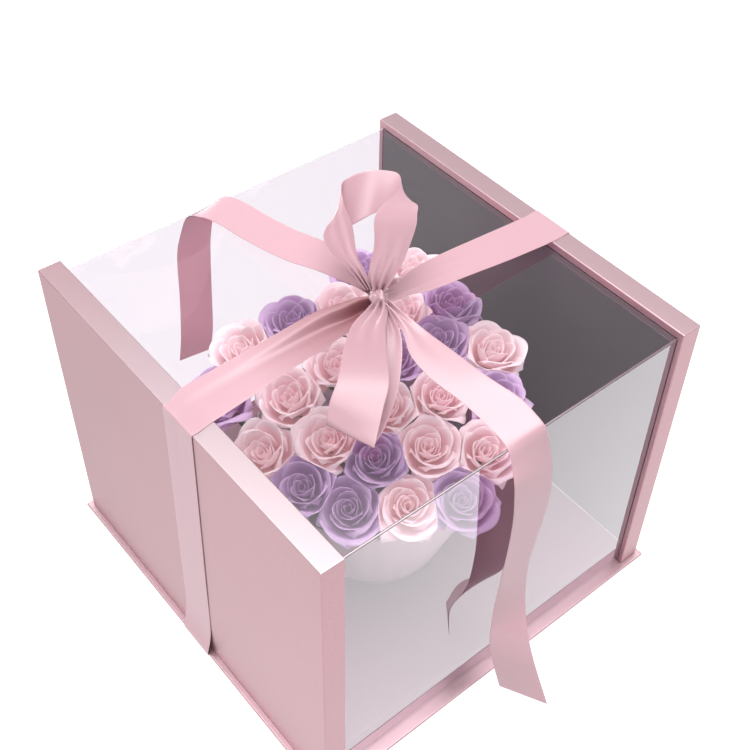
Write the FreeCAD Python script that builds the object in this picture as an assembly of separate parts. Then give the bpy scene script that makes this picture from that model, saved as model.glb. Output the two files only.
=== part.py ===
import FreeCAD, Part
import math
import os

Vector = FreeCAD.Vector

# Driving dimensions, in millimetres

# Box: two wrapped side panels, clear panes between them, and a base board
box_width = 370.0
box_depth = 370.0
panel_height = 298.0
panel_thickness = 20.0
panel_board = 2.0
panel_corner = 2.5
rim_above_top = 7.0
rim_before_pane = 5.0
pane_thickness = 0.8
pane_grip = 12.0
base_thickness = 3.0
base_ledge = 5.0
base_corner = 2.0
plinth_height = 30.0
plinth_board = 2.0
plinth_play = 1.0
seat_gap = 0.3
glue_gap = 0.1

# Bouquet: rose heads on stems in a foam core, inside a paper wrap
bloom_diameter = 45.0
bloom_pitch = 47.0
bloom_rise = 14.0
bloom_depth = 22.0
stem_diameter = 6.0
stem_hold = 12.0
stem_lean = 0.7
bouquet_x = -5.0
bouquet_y = -24.0
crown_z = 248.0
crown_drop = 3.4
wrap_rim_radius = 116.0
wrap_foot_radius = 62.0
wrap_height = 118.0
wrap_paper = 1.2
foam_below_rim = 4.0
foam_crown = 40.0
foam_steps = (1.0, 0.7, 0.3)

# Ribbon: satin band round the box, tied in a bow on top
ribbon_width = 38.0
ribbon_thickness = 0.6
edge_run = 4.0
strap_y = -20.0
strap_drift = 14.0
strap_bend_z = 40.0
knot_length = 15.0
knot_radius = 8.5
knot_end_radius = 5.5
knot_lift = 15.0
knot_stations = 5
knot_sides = 12
gathered_width = 9.0
front_loop_length = 138.0
front_loop_fold = 11.0
back_loop_length = 108.0
back_loop_fold = 26.0
front_loop_aim = (-0.717, -0.695, -0.05)
front_loop_bulge = (0, 0, 1)
back_loop_aim = (0.55, 0.68, 0.48)
back_loop_bulge = (0.25, -0.75, 0.6)
loop_stations = 17
loop_end_gap = 1.5
loop_spread = 1.6
front_tail_shift = 10.0
tail_end_height = 2.0
back_tail_shift = -22.0
back_tail_drop = 177.0

# Band from the knot outwards: share of its run, of its fall and of its spread
gather_shape = [(0, 1, 0), (0.12, 0.75, 0.5), (0.36, 0.35, 1), (0.65, 0.08, 1), (1, 0, 1)]

# Hanging tails: share of the drop, then millimetres aside and outwards, then
# degrees that the band is turned
front_tail_shape = [
    (0.11, 0, 5, 3), (0.29, 0, 10, 8), (0.51, -6, 17, 18),
    (0.72, -16, 25, 36), (0.87, -14, 34, 52), (1, -9, 43, 60),
]
back_tail_shape = [(0.14, -4, 6, 0), (0.40, -11, 11, 0), (0.74, -21, 12, 0), (1, -30, 10, 0)]

# Places that follow from the driving dimensions

half_width = box_width / 2
half_depth = box_depth / 2
inner_half_width = half_width - panel_thickness
panel_bottom = base_thickness + seat_gap
panel_top = panel_bottom + panel_height
pane_top = panel_top - rim_above_top
pane_front = half_depth - rim_before_pane
plinth_top = base_thickness + plinth_height
wrap_rim_z = plinth_top + wrap_height
strap_z = panel_top + seat_gap + ribbon_thickness / 2
strap_x = half_width + seat_gap + ribbon_thickness / 2
knot = Vector(bouquet_x, strap_y, panel_top + knot_lift)
front_tail_drop = pane_top + seat_gap - tail_end_height

# Rose places in bloom pitches from the bouquet's centre, across and deep
pink_roses = [
    (-1.35, 2.35), (0.55, 1.70), (-1.45, 0.75), (-0.45, 0.65), (-1.35, -0.25),
    (-2.40, 0.30), (2.45, 1.95), (1.30, 0.95), (2.20, -0.70), (0.65, -1.00),
    (-0.30, -0.60), (-0.15, -1.60), (0.70, -2.20), (-1.15, -2.25),
]
lilac_roses = [
    (-0.35, 2.15), (-2.25, 1.85), (1.60, 2.45), (2.30, 0.60), (1.40, -0.05),
    (1.55, -1.50), (0.40, 0.10), (-2.25, -0.70), (-2.00, -1.65), (-1.05, -1.25),
    (-0.20, -2.60),
]
crown_place = (0.9, 1.0)

# Rings of a rose head from stem to heart: share of the radius, share of the
# height above or below the widest whorl, and depth of the petal notches
rose_rings = [
    (0.42, -0.72, 0.00), (0.84, -0.30, 0.03), (1.00, 0.06, 0.07), (0.93, 0.16, 0.07),
    (0.76, -0.06, 0.02), (0.79, 0.44, 0.08), (0.71, 0.52, 0.08), (0.56, 0.22, 0.02),
    (0.56, 0.72, 0.08), (0.49, 0.78, 0.08), (0.36, 0.46, 0.02), (0.34, 0.92, 0.08),
    (0.27, 0.96, 0.08), (0.16, 0.70, 0.00), (0.10, 1.00, 0.00),
]
petals_in_whorl = 5
rings_in_whorl = 3
rose_turn = 2.4


def block(low, high):
    """A box from its lowest to its highest corner."""
    size = Vector(*high) - Vector(*low)
    return Part.makeBox(size.x, size.y, size.z, Vector(*low))


def round_edges(solid, radius, direction):
    """Fillet every straight edge of a solid that runs along one direction."""
    chosen = [e for e in solid.Edges if abs(e.tangentAt(e.FirstParameter).dot(direction)) > 0.999]
    return solid.makeFillet(radius, chosen)


def mirrored(solid):
    """The same solid on the other side of the box."""
    return solid.mirror(Vector(0, 0, 0), Vector(1, 0, 0))


# Base board and plinth

def make_base_board():
    across = half_width + base_ledge
    deep = half_depth + base_ledge
    board = block((-across, -deep, 0), (across, deep, base_thickness))
    return round_edges(board, base_corner, Vector(0, 0, 1))


def make_plinth():
    across = inner_half_width - plinth_play
    deep = pane_front - pane_thickness - plinth_play
    outside = block((-across, -deep, base_thickness), (across, deep, plinth_top))
    inside = block(
        (-across + plinth_board, -deep + plinth_board, base_thickness),
        (across - plinth_board, deep - plinth_board, plinth_top - plinth_board))
    return outside.cut(inside)


# Side panels: a wrapped tray, and a dark liner tray pushed into it

def make_panel_tray():
    """Right panel's tray: hollow, with a narrow rim round its open inner face."""
    outside = block(
        (inner_half_width, -half_depth, panel_bottom), (half_width, half_depth, panel_top))
    outside = round_edges(outside, panel_corner, Vector(1, 0, 0))
    cavity = block(
        (inner_half_width + panel_board, -half_depth + panel_board, panel_bottom + panel_board),
        (half_width - panel_board, half_depth - panel_board, panel_top - panel_board))
    mouth = block(
        (inner_half_width - panel_board, -pane_front, panel_bottom + panel_board),
        (inner_half_width + 2 * panel_board, pane_front, pane_top))
    return outside.cut(cavity).cut(mouth)


def make_panel_liner():
    """Right panel's liner: fills the tray's mouth and stands on its outer wall."""
    deep = pane_front - pane_thickness - 2 * glue_gap
    low = panel_bottom + panel_board + glue_gap
    high = pane_top - pane_thickness - 2 * glue_gap
    outside = block(
        (inner_half_width, -deep, low), (half_width - panel_board - glue_gap, deep, high))
    hollow = block(
        (inner_half_width + panel_board, -deep + panel_board, low + panel_board),
        (half_width, deep - panel_board, high - panel_board))
    return outside.cut(hollow)


# Clear panes: their edges reach into the panels between tray and liner

def make_pane_upright():
    """Front pane; the lower corners stop above the panels' bottom walls."""
    reach = inner_half_width + pane_grip
    outer = -pane_front + glue_gap
    upper = block(
        (-reach, outer, panel_bottom + panel_board + glue_gap),
        (reach, outer + pane_thickness, pane_top - pane_thickness - glue_gap))
    foot_reach = inner_half_width - glue_gap
    foot = block(
        (-foot_reach, outer, panel_bottom),
        (foot_reach, outer + pane_thickness, pane_top - pane_thickness - glue_gap))
    return upper.fuse(foot).removeSplitter()


def make_pane_top():
    reach = inner_half_width + pane_grip
    deep = pane_front - glue_gap
    high = pane_top - glue_gap
    return block((-reach, -deep, high - pane_thickness), (reach, deep, high))


# Bouquet

def bloom_height(place):
    """Height of a rose's widest whorl on the domed bouquet."""
    across = place[0] - crown_place[0]
    deep = place[1] - crown_place[1]
    return crown_z - crown_drop * (across * across + deep * deep)


def foam_surface(radius):
    """Height of the foam's domed top at a distance from the bouquet's axis."""
    share = radius / foam_rim_radius
    return foam_rim_z + foam_crown * (1 - share * share)


def wrap_inner_radius(height):
    """Inside radius of the wrap at a height."""
    share = (height - plinth_top) / wrap_height
    outer = wrap_foot_radius + share * (wrap_rim_radius - wrap_foot_radius)
    return outer - wrap_paper


foam_rim_z = wrap_rim_z - foam_below_rim
foam_rim_radius = wrap_inner_radius(foam_rim_z) - seat_gap


def turned(profile):
    """Solid of revolution about the bouquet's axis from radius and height pairs."""
    points = [Vector(bouquet_x + r, bouquet_y, z) for r, z in profile]
    face = Part.Face(Part.makePolygon(points + points[:1]))
    return face.revolve(Vector(bouquet_x, bouquet_y, 0), Vector(0, 0, 1), 360)


def make_wrap():
    return turned([
        (wrap_foot_radius, plinth_top), (wrap_rim_radius, wrap_rim_z),
        (wrap_rim_radius - wrap_paper, wrap_rim_z), (wrap_foot_radius - wrap_paper, plinth_top)])


def stem_foot(place):
    """Centre of a stem where it enters the foam, and its lower end."""
    across = place[0] * bloom_pitch * stem_lean
    deep = place[1] * bloom_pitch * stem_lean
    top = foam_surface(math.hypot(across, deep))
    return Vector(bouquet_x + across, bouquet_y + deep, top - stem_hold)


def make_foam(places):
    """Foam core that fills the wrap, with a hole for each stem in its domed top."""
    foot_radius = wrap_inner_radius(plinth_top) - seat_gap
    profile = [(0, plinth_top), (foot_radius, plinth_top)]
    for share in foam_steps:
        radius = share * foam_rim_radius
        profile.append((radius, foam_surface(radius)))
    profile.append((0, profile[-1][1]))
    foam = turned(profile)
    hole_radius = stem_diameter / 2 + glue_gap
    for place in places:
        hole = Part.makeCylinder(hole_radius, foam_crown + stem_hold, stem_foot(place))
        foam = foam.cut(hole)
    return foam


def polygon_ring(centre, axis, radius, notch, turn):
    """Closed outline round an axis, drawn in between the petals."""
    side = axis.cross(Vector(0, 1, 0))
    side.normalize()
    front = axis.cross(side)
    points = []
    for step in range(2 * petals_in_whorl):
        angle = math.pi * step / petals_in_whorl + turn
        reach = radius * (1 - notch * (step % 2))
        points.append(centre + side * (reach * math.cos(angle)) + front * (reach * math.sin(angle)))
    return points


def facet(points):
    """Flat face on a closed outline of points."""
    return Part.Face(Part.makePolygon(points + points[:1]))


def closed_skin(rings):
    """Solid of triangles between rings of points that have the same count.

    The second half of each ring is split along the other diagonal, so that the two
    broad faces of a twisted band stay parallel.
    """
    faces = []
    count = len(rings[0])
    for lower, upper in zip(rings, rings[1:]):
        for i in range(count):
            j = (i + 1) % count
            quad = [lower[i], lower[j], upper[j], upper[i]]
            if 2 * i >= count:
                quad = quad[1:] + quad[:1]
            faces.append(facet([quad[0], quad[1], quad[2]]))
            faces.append(facet([quad[0], quad[2], quad[3]]))
    faces.append(facet(rings[0][::-1]))
    faces.append(facet(rings[-1]))
    return Part.Solid(Part.makeShell(faces))


def make_rose(place, turn):
    """Rose head of whorls of petals, leaning outwards, on a stem in the foam."""
    across = place[0] * bloom_pitch
    deep = place[1] * bloom_pitch
    head = Vector(bouquet_x + across, bouquet_y + deep, bloom_height(place))
    lean = Vector(
        crown_drop * 2 * (place[0] - crown_place[0]) / bloom_pitch,
        crown_drop * 2 * (place[1] - crown_place[1]) / bloom_pitch, 1)
    lean.normalize()
    upright = Vector(0, 0, 1)
    foot = stem_foot(place)
    stem_radius = stem_diameter / 2
    stem_top = foot + upright * stem_hold
    rings = [
        polygon_ring(foot, upright, stem_radius, 0, turn),
        polygon_ring(stem_top, upright, stem_radius, 0, turn),
        polygon_ring(head - lean * bloom_depth, lean, stem_radius, 0, turn),
    ]
    for number, (share, level, notch) in enumerate(rose_rings):
        height = level * (bloom_rise if level > 0 else bloom_depth)
        whorl_turn = turn + number // rings_in_whorl * math.pi / petals_in_whorl
        centre = head + lean * height
        rings.append(polygon_ring(centre, lean, share * bloom_diameter / 2, notch, whorl_turn))
    return closed_skin(rings)


# Ribbon

def band(stations):
    """Thin band through stations of centre, crosswise unit direction and width."""
    centres = [s[0] for s in stations]
    outlines = []
    for i, (centre, across, width) in enumerate(stations):
        before = centres[max(i - 1, 0)]
        after = centres[min(i + 1, len(centres) - 1)]
        through = (after - before).cross(across)
        through.normalize()
        through = through * (ribbon_thickness / 2)
        edge = across * (width / 2)
        corners = [centre - edge - through, centre + edge - through,
                   centre + edge + through, centre - edge + through]
        outlines.append(corners)
    return closed_skin(outlines)


def gathered_stations(start, end, crosswise):
    """Stations from the knot, where the band is drawn together, to where it lies flat."""
    stations = []
    for along, raised, spread in gather_shape:
        centre = start + (end - start) * along
        centre.z = end.z + (start.z - end.z) * raised
        width = gathered_width + (ribbon_width - gathered_width) * spread
        stations.append((centre, crosswise, width))
    return stations


def make_strap_top(side):
    """Half of the band over the top, to one side, drawn together into the knot."""
    crosswise = Vector(0, 1, 0)
    start = knot + Vector(side * (knot_length / 2 + seat_gap), 0, -knot_radius / 2)
    landing = Vector(side * inner_half_width, strap_y, strap_z)
    corner = Vector(side * (strap_x + ribbon_thickness / 2), strap_y, strap_z)
    return band(gathered_stations(start, landing, crosswise) + [(corner, crosswise, ribbon_width)])


def make_strap_side(side):
    """Half of the band down one panel and out over the base board's edge."""
    near_x = side * strap_x
    ledge_x = side * (strap_x + base_ledge)
    foot_y = strap_y + strap_drift
    top_z = strap_z - ribbon_thickness / 2
    centres = [
        Vector(near_x, strap_y, top_z), Vector(near_x, strap_y, top_z - edge_run),
        Vector(near_x, foot_y, strap_bend_z), Vector(ledge_x, foot_y, base_thickness + 2 * seat_gap),
        Vector(ledge_x, foot_y, 2 * seat_gap),
    ]
    return band([(centre, Vector(0, 1, 0), ribbon_width) for centre in centres])


def make_knot():
    """Barrel-shaped wrap of the band round the crossing, widest in the middle."""
    outlines = []
    for station in range(knot_stations):
        share = 2 * station / (knot_stations - 1) - 1
        radius = knot_radius - (knot_radius - knot_end_radius) * share * share
        centre = knot + Vector(share * knot_length / 2, 0, 0)
        ring = []
        for side in range(knot_sides):
            angle = 2 * math.pi * side / knot_sides
            ring.append(centre + Vector(0, radius * math.cos(angle), radius * math.sin(angle)))
        outlines.append(ring)
    return closed_skin(outlines)


def make_loop(aim, upward, length, fold):
    """Teardrop loop of the bow, drawn together at the knot."""
    forward = Vector(*aim)
    forward.normalize()
    bulge = Vector(*upward)
    bulge = bulge - forward * bulge.dot(forward)
    bulge.normalize()
    crosswise = forward.cross(bulge)
    near = knot_radius + 2 * seat_gap
    stations = []
    for step in range(loop_stations):
        turn = math.pi * step / (loop_stations - 1)
        reach = near + (length - near) * math.sin(turn)
        rise = fold * math.sin(2 * turn) + loop_end_gap * math.cos(turn) + knot_radius / 2
        centre = knot + forward * reach + bulge * rise
        spread = min(1.0, loop_spread * math.sin(turn))
        width = gathered_width + (ribbon_width - gathered_width) * spread
        stations.append((centre, crosswise, width))
    return band(stations)


def make_tail_top(shift, side):
    """Tail from the knot to the front or back edge; side is -1 at the front."""
    start = knot + Vector(0, side * (knot_radius + seat_gap), 0)
    edge_y = side * (pane_front + seat_gap + ribbon_thickness)
    edge = Vector(knot.x + shift, edge_y, pane_top + seat_gap + ribbon_thickness / 2)
    return band(gathered_stations(start, edge, Vector(1, 0, 0)))


def make_tail_drop(shift, side, drop, shape):
    """Hanging run of a tail through its shape's stations, to its cut end."""
    top = Vector(knot.x + shift, side * (pane_front + seat_gap + ribbon_thickness / 2), pane_top + seat_gap)
    straight = [(0, 0, 0, 0), (edge_run / drop, 0, 0, 0)]
    stations = []
    for share, aside, out, turn in straight + shape:
        angle = math.radians(turn)
        crosswise = Vector(math.cos(angle), side * math.sin(angle), 0)
        stations.append((top + Vector(aside, side * out, -share * drop), crosswise, ribbon_width))
    return band(stations)


def rose_nodes():
    """Roses by node name: pink ones first, then lilac ones."""
    nodes = {}
    for colour, places in (("pink", pink_roses), ("lilac", lilac_roses)):
        for number, place in enumerate(places, 1):
            turn = rose_turn * len(nodes)
            nodes[f"rose_{colour}_{number:02d}"] = make_rose(place, turn)
    return nodes


def all_nodes():
    """Every sub-part of the flower box by its node name."""
    tray = make_panel_tray()
    liner = make_panel_liner()
    front_pane = make_pane_upright()
    nodes = {
        "base_board": make_base_board(),
        "plinth": make_plinth(),
        "bouquet_wrap": make_wrap(),
        "flower_foam": make_foam(pink_roses + lilac_roses),
        "right_panel_tray": tray,
        "left_panel_tray": mirrored(tray),
        "right_panel_liner": liner,
        "left_panel_liner": mirrored(liner),
        "clear_front": front_pane,
        "clear_back": front_pane.mirror(Vector(0, 0, 0), Vector(0, 1, 0)),
        "clear_top": make_pane_top(),
        "ribbon_left_top": make_strap_top(-1),
        "ribbon_left_side": make_strap_side(-1),
        "ribbon_right_top": make_strap_top(1),
        "ribbon_right_side": make_strap_side(1),
        "bow_knot": make_knot(),
        "bow_loop_front": make_loop(
            front_loop_aim, front_loop_bulge, front_loop_length, front_loop_fold),
        "bow_loop_back": make_loop(back_loop_aim, back_loop_bulge, back_loop_length, back_loop_fold),
        "bow_tail_front_top": make_tail_top(front_tail_shift, -1),
        "bow_tail_front_drop": make_tail_drop(front_tail_shift, -1, front_tail_drop, front_tail_shape),
        "bow_tail_back_top": make_tail_top(back_tail_shift, 1),
        "bow_tail_back_drop": make_tail_drop(back_tail_shift, 1, back_tail_drop, back_tail_shape),
    }
    nodes.update(rose_nodes())
    return nodes


def main():
    os.makedirs("parts", exist_ok=True)
    for name, solid in all_nodes().items():
        if not solid.isValid():
            raise ValueError(f"{name} is not a valid solid")
        solid.exportStep(f"parts/{name}.step")


main()
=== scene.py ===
"""Flower box: a clear box with rose-coloured side panels, a bouquet of roses and a tied satin ribbon."""

import math
import random

import bmesh
import bpy
from bpy.props import FloatProperty, FloatVectorProperty, IntProperty, PointerProperty
from mathutils import Euler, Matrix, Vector


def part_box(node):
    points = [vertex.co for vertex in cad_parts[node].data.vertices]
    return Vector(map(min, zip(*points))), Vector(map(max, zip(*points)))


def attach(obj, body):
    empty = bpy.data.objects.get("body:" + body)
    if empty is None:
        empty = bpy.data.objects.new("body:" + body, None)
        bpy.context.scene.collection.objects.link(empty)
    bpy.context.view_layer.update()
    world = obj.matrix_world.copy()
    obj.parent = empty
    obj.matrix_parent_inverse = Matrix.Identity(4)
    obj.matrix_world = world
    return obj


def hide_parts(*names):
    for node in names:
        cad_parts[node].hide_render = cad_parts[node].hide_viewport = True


bl_info = {
    "name": "Flower Box",
    "version": (1, 0, 0),
    "blender": (4, 5, 0),
    "location": "View3D > Sidebar > Flower Box",
    "description": "Dresses the frame of a flower box with card, clear sheet, roses and satin ribbon",
    "category": "Object",
}

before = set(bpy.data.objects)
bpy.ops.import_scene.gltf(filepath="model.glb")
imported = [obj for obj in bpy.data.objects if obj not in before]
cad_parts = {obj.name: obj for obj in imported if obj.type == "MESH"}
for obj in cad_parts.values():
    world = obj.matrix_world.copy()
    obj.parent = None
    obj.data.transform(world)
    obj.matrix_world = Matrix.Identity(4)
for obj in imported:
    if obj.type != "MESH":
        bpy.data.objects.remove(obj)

mm = 0.001


# Sizes and colours that a user would change

def number(name, description, default, **more):
    return FloatProperty(name=name, description=description, default=default, **more)


def length(name, description, default):
    """A length in metres, from a default in millimetres."""
    return number(name, description, default * mm, unit="LENGTH")


def vector(name, description, default, **more):
    return FloatVectorProperty(
        name=name, description=description, default=default, size=len(default), **more)


def colour(name, description, default):
    """A colour in linear light."""
    return vector(name, description, default, min=0, max=1, subtype="COLOR")


class BoxSettings(bpy.types.PropertyGroup):
    """Card panels, base and clear panes."""

    edge_radius: length("Edge radius", "Rounding of the wrapped card's edges", 1.4)
    crease: length("Crease", "Width of the clear top's creased edge", 1.9)
    foil: colour("Foil card", "Rose-coloured foil paper of the panels", (0.415, 0.224, 0.254))
    # Painted highlight: the pale colours are for faces that look up, and on the left panel they are
    # brighter at the front
    lit_top_foil: colour("Pale foil", "Foil paper where it faces up", (0.47, 0.325, 0.355))
    # Painted shade: darkens the left panel's upright faces towards the back
    back_shade_foil: colour("Deep foil", "Foil paper at the left panel's back", (0.372, 0.189, 0.216))
    front_lit_top: colour("Front pale foil", "Left panel's top at the front", (0.47, 0.378, 0.403))
    back_lit_top: colour("Back pale foil", "Left panel's top at the back", (0.408, 0.268, 0.292))
    liner: colour("Liner", "Dark paper on the panels' inner faces", (0.10, 0.092, 0.10))
    plinth: colour("Plinth", "Card of the plinth", (0.20, 0.10, 0.125))
    upright_tint: colour("Upright tint", "What the upright panes let through", (0.955, 0.925, 0.955))
    flat_tint: colour("Flat tint", "What the top pane lets through", (0.985, 0.98, 0.985))


class BouquetSettings(bpy.types.PropertyGroup):
    """Roses and their wrap."""

    bloom_radius: length("Bloom radius", "Radius of a rose head over its outer petals", 33.0)
    inner_bloom: number("Inner bloom", "Size of the roses in the middle", 0.94)
    outer_bloom: number("Outer bloom", "Size of the roses at the rim", 1.10)
    cup_depth: length("Cup depth", "Depth of a rose's cup below its widest whorl", 17.0)
    petal_thickness: length("Petal thickness", "Thickness of a petal", 0.4)
    gather: number("Gather", "Share of the frame's spread", 0.92, min=0, max=1, subtype="FACTOR")
    dome_radius: length("Dome radius", "Radius of the dome that the roses face away from", 420.0)
    collar: length("Collar", "How far the wrap's edge stands up to the petals, above the frame's", 8.0)
    stem_radius: length("Stem radius", "Radius of a rose's stem", 3.0)
    pleats: IntProperty(name="Pleats", description="Folds round the wrap", default=22, min=3, max=60)
    pleat_depth: length("Pleat depth", "Depth of the paper wrap's folds", 2.2)
    pink_outer: colour("Pink petals", "Outer petals of the pink roses", (0.90, 0.76, 0.80))
    pink_heart: colour("Pink heart", "Heart of the pink roses", (0.92, 0.73, 0.755))
    # Painted shade: the fold colours darken each petal's lower part, where it sinks between its neighbours
    pink_fold: colour("Pink fold", "Depth of the pink petals' folds", (0.62, 0.26, 0.29))
    lilac_outer: colour("Lilac petals", "Outer petals of the lilac roses", (0.67, 0.46, 0.72))
    # The lilac heart's deep colour is partly the rose's own and partly painted shade deep in the cup
    lilac_heart: colour("Lilac heart", "Heart of the lilac roses", (0.40, 0.19, 0.39))
    # Painted shade in the lilac petals' folds
    lilac_fold: colour("Lilac fold", "Depth of the lilac petals' folds", (0.22, 0.09, 0.21))
    stem: colour("Stem", "Stems and calyxes", (0.16, 0.22, 0.11))
    # The foam is real; its mauve colour is painted shade, picked to read as the shade seen between the
    # rose heads
    foam: colour("Foam", "Foam that holds the stems", (0.30, 0.20, 0.26))
    paper: colour("Paper", "Wrapping paper", (0.74, 0.60, 0.62))


class RibbonSettings(bpy.types.PropertyGroup):
    """Satin ribbon."""

    width: length("Width", "Width of the ribbon", 38.0)
    thickness: length("Thickness", "Thickness of the ribbon", 0.4)
    gather_reach: length("Gather reach", "How far the pleats run out from the knot", 19.0)
    gather_depth: length("Gather depth", "Depth of the pleats at the knot", 3.0)
    satin: colour("Satin", "Colour of the satin", (0.53, 0.33, 0.375))
    # Painted shade: darkens the left strap beside the knot
    deep_satin: colour("Deep satin", "Left strap where it turns away", (0.22, 0.073, 0.083))
    thread: length("Thread", "Spacing of the satin's threads", 0.35)


class StageSettings(bpy.types.PropertyGroup):
    """Camera, floor and light."""

    camera_place: vector(
        "Camera place", "Where the camera stands", (-0.4386, -0.5340, 0.9257),
        subtype="TRANSLATION", unit="LENGTH")
    camera_turn: vector("Camera turn", "Turn of the camera, in degrees", (45.114, -2.006, -40.124))
    lens: number("Lens", "Focal length in millimetres", 56.94)
    shift: vector("Shift", "Shift of the picture from the lens axis", (-0.0399, -0.0259))
    floor_size: number("Floor size", "Side of the floor", 6.0, unit="LENGTH")
    room_light: number("Room light", "Strength of the room's light", 0.9)
    zenith_light: number("Zenith light", "Strength of the wide soft light straight above", 8.5)
    dim_light: number("Dim light", "Strength of the room's upper light on its two dim sides", 0.25)
    key_light: number("Key light", "Power of the soft light left of the box", 12.0, unit="POWER")
    fill_light: number("Fill light", "Power of the soft light behind the box", 30.0, unit="POWER")
    floor_light: number("Floor light", "Brightness of the white floor", 1.26)


def box():
    return bpy.context.scene.flower_box


def bouquet():
    return bpy.context.scene.flower_bouquet


def ribbon():
    return bpy.context.scene.flower_ribbon


def stage():
    return bpy.context.scene.flower_stage


# Values that go with the shapes and the light

# Faces smaller than this, in square metres, belong to a card's or pane's edges
edge_area = 0.01
liner_edge = 0.3 * mm
pane_edge = 0.25 * mm
pocket_depth = 16 * mm
# Refractive index of the front and top panes and of the back one
clear_index = 1.9
back_index = 1.4
# Height of a CAD head's top above the rose's middle
heart_rise = 23 * mm
# How much of what would cross a neighbour's side is pressed back, and half the gap that stays
press = 0.85
press_gap = 0.5 * mm
# Light through a petal, the strength of a painted glow for light scattered between petals, and the
# strength of the painted shade in the folds
petal_glow = 0.35
petal_scatter_glow = 0.21
fold_shade_strength = 0.6
paper_thickness = 0.5 * mm
foam_below_rim = 4 * mm
pore_depth = 0.5 * mm
# Gap between the ribbon and what it lies on
clearance = 0.5 * mm
# Way from the knot over which the painted shade on the left strap fades
knot_shade_start = 30 * mm
knot_shade_end = 135 * mm
# Shares of the light that pass through satin, the bow lying flat, a strap down a panel, the back tail
glow_through = 0.3
bow_glow = 0.43
strap_glow = 0.2
tail_glow = 0.95
# Gloss of the satin where it bends and where it is drawn flat
bend_gloss = 0.9
flat_gloss = 0.5
# Height, as a sine, at which the light above begins
zenith_reach = 0.755
# Direction of the room's dim sides, and how far to them and how high up the dimming sets in
dim_side = (0.67, 0.74, 0.0)
dim_spread = (0.0, 0.5)
dim_height = (0.3, 0.5)
# The floor lies a little lower; its brightness left of the box at the front and back, and behind it
floor_drop = 0.2 * mm
left_floor = 0.96
back_floor = 0.80
far_floor = 0.91


# Shaders

class Wire:
    """A shader socket that takes part in Python expressions."""

    def __init__(self, finish, socket):
        self.finish = finish
        self.socket = socket

    def work(self, operation, *values):
        return self.finish.add("Math", {"operation": operation}, dict(enumerate(values)))

    def __add__(self, other):
        return self.work("ADD", self, other)

    def __radd__(self, other):
        return self.work("ADD", other, self)

    def __sub__(self, other):
        return self.work("SUBTRACT", self, other)

    def __rsub__(self, other):
        return self.work("SUBTRACT", other, self)

    def __mul__(self, other):
        return self.work("MULTIPLY", self, other)

    def __rmul__(self, other):
        return self.work("MULTIPLY", other, self)

    def __pow__(self, other):
        return self.work("POWER", self, other)

    def __abs__(self):
        return self.work("ABSOLUTE", self)


class Finish:
    """A material in the making: nodes are added to it by type."""

    def __init__(self, name, holder=None):
        self.material = holder or bpy.data.materials.new(name)
        self.material.use_nodes = True
        self.tree = self.material.node_tree
        self.tree.nodes.clear()

    def add(self, kind, settings=None, sockets=None, output=0):
        """A node of a type, with its settings and then its sockets' values or links."""
        node = self.tree.nodes.new("ShaderNode" + kind)
        for name, value in (settings or {}).items():
            setattr(node, name, value)
        for key, value in (sockets or {}).items():
            if isinstance(value, Wire):
                self.tree.links.new(value.socket, node.inputs[key])
            else:
                node.inputs[key].default_value = value
        return Wire(self, node.outputs[output]) if node.outputs else None

    def mix(self, factor, first, second):
        """Blend of two colours."""
        return self.add("Mix", {"data_type": "RGBA"}, {0: factor, 6: first, 7: second}, 2)

    def ramp(self, value, start, end, first=0.0, last=1.0, curve="SMOOTHSTEP"):
        """Runs from first to last while the value runs from start to end."""
        return self.add("MapRange", {"interpolation_type": curve}, {
            "Value": value, "From Min": start, "From Max": end, "To Min": first, "To Max": last})

    def place(self, kind="Object"):
        """Texture coordinates of one kind."""
        return self.add("TexCoord", None, None, kind)

    def axis(self, where, name):
        return self.add("SeparateXYZ", None, {"Vector": where}, name)

    def upward(self):
        """How far a face looks up, from -1 to 1."""
        return self.axis(self.add("NewGeometry", None, None, "Normal"), "Z")

    def noise(self, where, scale, detail):
        """Noise with one scale, or one for each axis."""
        if isinstance(scale, tuple):
            where = self.add("VectorMath", {"operation": "MULTIPLY"}, {0: where, 1: scale})
            scale = 1.0
        return self.add("TexNoise", None, {"Vector": where, "Scale": scale, "Detail": detail})

    def bump(self, height, strength, distance):
        return self.add("Bump", None, {"Height": height, "Strength": strength, "Distance": distance})

    def principled(self, sockets):
        return self.add(
            "BsdfPrincipled", None, {key.replace("_", " "): value for key, value in sockets.items()})

    def surface(self, **sockets):
        """A principled surface; sockets are given by name with underscores for spaces."""
        return self.end(self.principled(sockets))

    def thin(self, glow, tint, **sockets):
        """The same for a thin sheet that lets a share of the light shine through, tinted."""
        through = self.add("BsdfTranslucent", None, {"Color": tint, "Normal": sockets["Normal"]})
        return self.end(self.add("MixShader", None, {0: glow, 1: self.principled(sockets), 2: through}))

    def end(self, shader, kind="OutputMaterial"):
        self.add(kind, None, {"Surface": shader})
        return self.material


def tone(rgb, factor=1.0):
    """A colour with its strength changed, as a socket value."""
    return tuple(min(1.0, channel * factor) for channel in rgb) + (1.0,)


def grey(level):
    """A grey from black, 0, to white, 1, as a socket value."""
    return tone((1, 1, 1), level)


white = grey(1)
fine_bump = 0.2 * mm


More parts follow.
